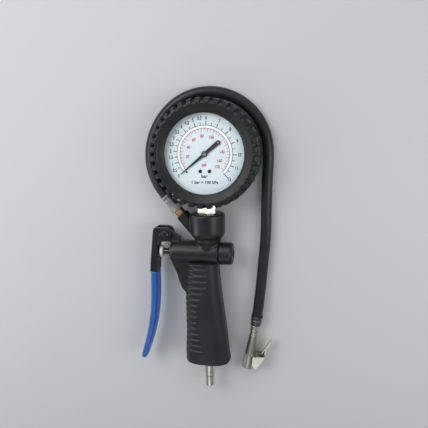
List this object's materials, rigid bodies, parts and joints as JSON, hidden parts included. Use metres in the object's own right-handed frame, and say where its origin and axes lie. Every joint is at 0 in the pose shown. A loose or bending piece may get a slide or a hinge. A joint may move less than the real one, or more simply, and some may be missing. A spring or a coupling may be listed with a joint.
{
  "type": "tyre inflator with dial gauge",
  "caption": "Hand-held tyre inflator: rubber-booted dial gauge on a ribbed pistol grip, squeeze lever, inlet plug, and a hose with a clip-on chuck.",
  "frame": {"origin": "on the gauge's axis, at the flat back of the rubber boot, where it rests on a bench", "axes": "+Z out of the dial, +Y from the handle to the top of the gauge, +X to the right seen from the front"},
  "size_m": [0.1353, 0.3025, 0.035],
  "materials": {
    "boot_rubber": "matt black moulded rubber",
    "gauge_steel": "black enamelled pressed steel",
    "lens_clear": "clear acrylic window",
    "dial_white": "white printed aluminium dial",
    "pointer_black": "matt black pointer",
    "movement_brass": "stamped and machined brass",
    "bright_steel": "plain machined steel",
    "plated_fitting": "nickel-plated brass",
    "body_black": "satin black coated die-cast aluminium",
    "grip_rubber": "ribbed black rubber sleeve",
    "lever_black": "satin black cast lever",
    "sleeve_blue": "soft blue dipped vinyl",
    "seal_rubber": "black nitrile rubber",
    "hose_rubber": "smooth black rubber air hose",
    "filter_bronze": "sintered bronze",
    "button_white": "off-white acetal button"
  },
  "bodies": {
    "tool": {"boot": "boot_rubber", "gauge_case": "gauge_steel", "bezel_ring": "gauge_steel", "lens": "lens_clear", "lens_gasket": "seal_rubber", "dial_plate": "dial_white", "dial_standoffs": "movement_brass", "dial_screws": "bright_steel", "hairspring": "bright_steel", "movement_back_plate": "movement_brass", "movement_front_plate": "movement_brass", "movement_pillars": "movement_brass", "movement_screws": "bright_steel", "bourdon_tube": "movement_brass", "gauge_socket": "plated_fitting", "case_screws": "bright_steel", "stem_locknut": "plated_fitting", "body_casting": "body_black", "grip": "grip_rubber", "valve_bush": "movement_brass", "plunger_oring": "seal_rubber", "valve_spring": "bright_steel", "end_cap": "body_black", "cap_oring": "seal_rubber", "inlet_plug": "plated_fitting", "inlet_filter": "filter_bronze", "hose_bush": "movement_brass", "hose_nut": "plated_fitting", "hose_ferrule": "plated_fitting", "hose": "hose_rubber", "chuck_ferrule": "body_black", "chuck_collar": "plated_fitting", "chuck_body": "plated_fitting", "chuck_seal": "seal_rubber", "valve_depressor": "movement_brass", "clip_rivets": "plated_fitting", "clip_spring": "bright_steel"},
    "sector": {"sector_gear": "movement_brass", "sector_shaft": "bright_steel"},
    "pointer_shaft": {"pointer": "pointer_black", "pointer_arbor": "bright_steel"},
    "drive_link": {"link": "bright_steel"},
    "tube_end": {"tube_tip": "movement_brass"},
    "squeeze_lever": {"lever": "lever_black", "lever_sleeve": "sleeve_blue", "lever_pin": "bright_steel", "pin_clip": "bright_steel"},
    "valve_plunger": {"plunger": "movement_brass", "plunger_button": "button_white", "valve_seal": "seal_rubber"},
    "chuck_clip": {"clip_lever": "plated_fitting"}
  },
  "joints": [
    {"name": "lever_pivot", "type": "hinge", "parent": "tool", "child": "squeeze_lever", "pos_m": [-0.0425, -0.0787, 0.017], "axis": [0, 0, 1], "range_deg": [0, 14], "stiffness_Nm_per_rad": 1.2, "springref_deg": -8.59},
    {"name": "plunger_slide", "type": "slide", "parent": "tool", "child": "valve_plunger", "axis": [1, 0, 0], "range_m": [0, 0.0047], "deforming": ["valve_spring"]},
    {"name": "sector_swing", "type": "hinge", "parent": "tool", "child": "sector", "pos_m": [0, -0.0153, 0.0182], "axis": [0, 0, 1], "range_deg": [0, 36], "stiffness_Nm_per_rad": 0.002, "springref_deg": -5.73},
    {"name": "pointer_spin", "type": "hinge", "parent": "tool", "child": "pointer_shaft", "pos_m": [0, 0, 0.0261], "axis": [0, 0, 1], "range_deg": [-270, 0], "deforming": ["hairspring"]},
    {"name": "link_swing", "type": "hinge", "parent": "sector", "child": "drive_link", "pos_m": [0.00225, -0.02086, 0.0195], "axis": [0, 0, 1], "range_deg": [-36, 0]},
    {"name": "tube_flex", "type": "hinge", "parent": "tool", "child": "tube_end", "pos_m": [0, 0.027, 0.017], "axis": [0, 0, 1], "range_deg": [0, 4.81], "deforming": ["bourdon_tube"]},
    {"name": "clip_swing", "type": "hinge", "parent": "tool", "child": "chuck_clip", "pos_m": [0.04571, -0.2085, 0.0076], "axis": [0, 0, 1], "range_deg": [0, 22], "stiffness_Nm_per_rad": 0.12, "springref_deg": -11.46, "deforming": ["clip_spring"]}
  ],
  "couplings": [
    {"joint": "plunger_slide", "follows": "lever_pivot", "m_per_rad": 0.019},
    {"joint": "pointer_spin", "follows": "sector_swing", "ratio": -7.5},
    {"joint": "link_swing", "follows": "sector_swing", "ratio": -0.99953},
    {"joint": "tube_flex", "follows": "sector_swing", "ratio": 0.13353}
  ]
}
